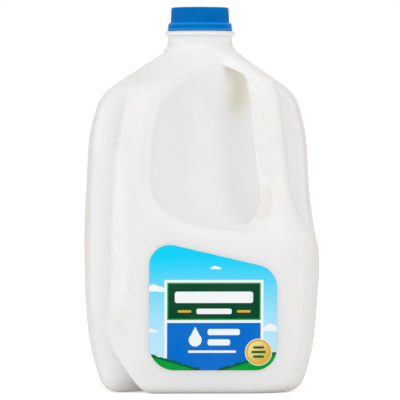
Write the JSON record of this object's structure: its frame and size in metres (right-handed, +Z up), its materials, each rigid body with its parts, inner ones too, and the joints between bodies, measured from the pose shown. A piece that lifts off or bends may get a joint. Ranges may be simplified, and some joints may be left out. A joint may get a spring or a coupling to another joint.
{
  "type": "milk jug",
  "caption": "Square blow-moulded plastic milk jug with a moulded grip on one corner, a ribbed press-on cap with a tear band, and a label on its front wall.",
  "frame": {"origin": "on the table, under the middle of the neck and of the square base", "axes": "+Z up along the neck; the front wall with the label faces -Y; the grip is on the corner between +X and -Y"},
  "size_m": [0.1594, 0.1596, 0.2632],
  "materials": {
    "jug": "satin, milky and slightly translucent",
    "cap": "satin",
    "label": "printed paper with a soft gloss"
  },
  "bodies": {
    "root": {"jug": "jug", "cap": "cap", "label": "label"}
  },
  "joints": []
}
